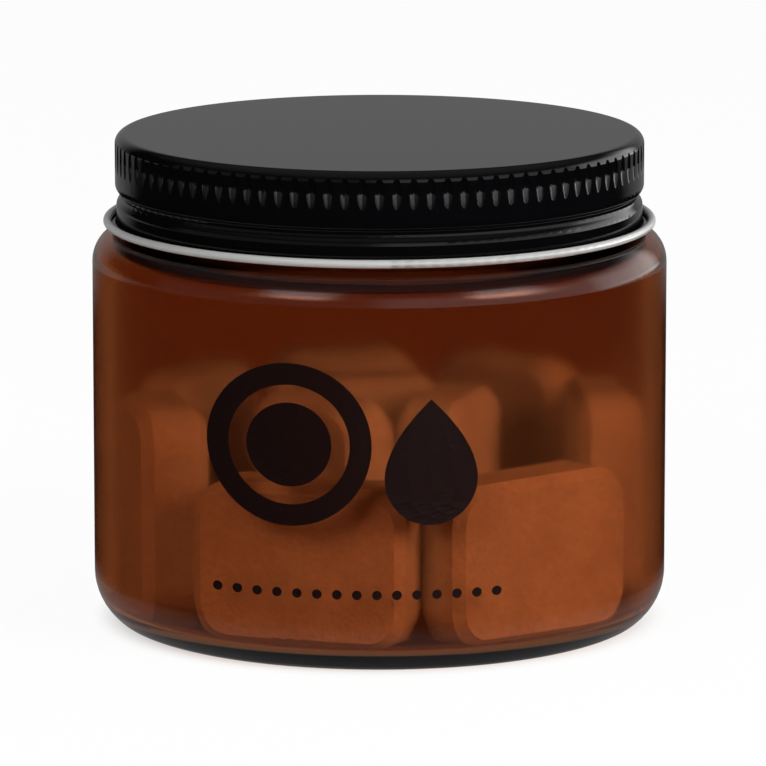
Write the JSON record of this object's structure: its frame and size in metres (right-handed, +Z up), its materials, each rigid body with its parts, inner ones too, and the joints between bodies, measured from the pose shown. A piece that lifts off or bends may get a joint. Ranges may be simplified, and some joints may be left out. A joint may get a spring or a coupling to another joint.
{
  "type": "screw-top glass jar of dishwasher tablets",
  "caption": "Wide straight-sided amber glass jar with a fluted black metal screw lid, holding a heap of pressed dishwasher tablets.",
  "frame": {"origin": "centre of the jar's foot, on the surface that it stands on", "axes": "+Z up along the jar's axis; the front of the jar faces -Y, +X is to the right seen from the front"},
  "size_m": [0.092, 0.092, 0.0786],
  "materials": {
    "amber_glass": "clear amber soda-lime glass, gloss",
    "liner_foam": "matt expanded foam",
    "lacquered_tinplate": "gloss black lacquer, bare metal edge",
    "pressed_tablet": "matt pressed powder"
  },
  "bodies": {
    "jar": {"jar": "amber_glass", "tablet_01": "pressed_tablet", "tablet_02": "pressed_tablet", "tablet_03": "pressed_tablet", "tablet_04": "pressed_tablet", "tablet_05": "pressed_tablet", "tablet_06": "pressed_tablet", "tablet_07": "pressed_tablet", "tablet_08": "pressed_tablet", "tablet_09": "pressed_tablet", "tablet_10": "pressed_tablet"},
    "seal": {"liner": "liner_foam"},
    "lid": {"lid": "lacquered_tinplate"}
  },
  "joints": [
    {"name": "lid_rise", "type": "slide", "parent": "jar", "child": "seal", "axis": [0, 0, 1], "range_m": [0, 0.01525]},
    {"name": "lid_turn", "type": "hinge", "parent": "seal", "child": "lid", "pos_m": [0, 0, 0.0711], "axis": [0, 0, 1], "range_deg": [0, 1080]}
  ],
  "couplings": [
    {"joint": "lid_rise", "follows": "lid_turn", "m_per_rad": 0.00080851}
  ]
}
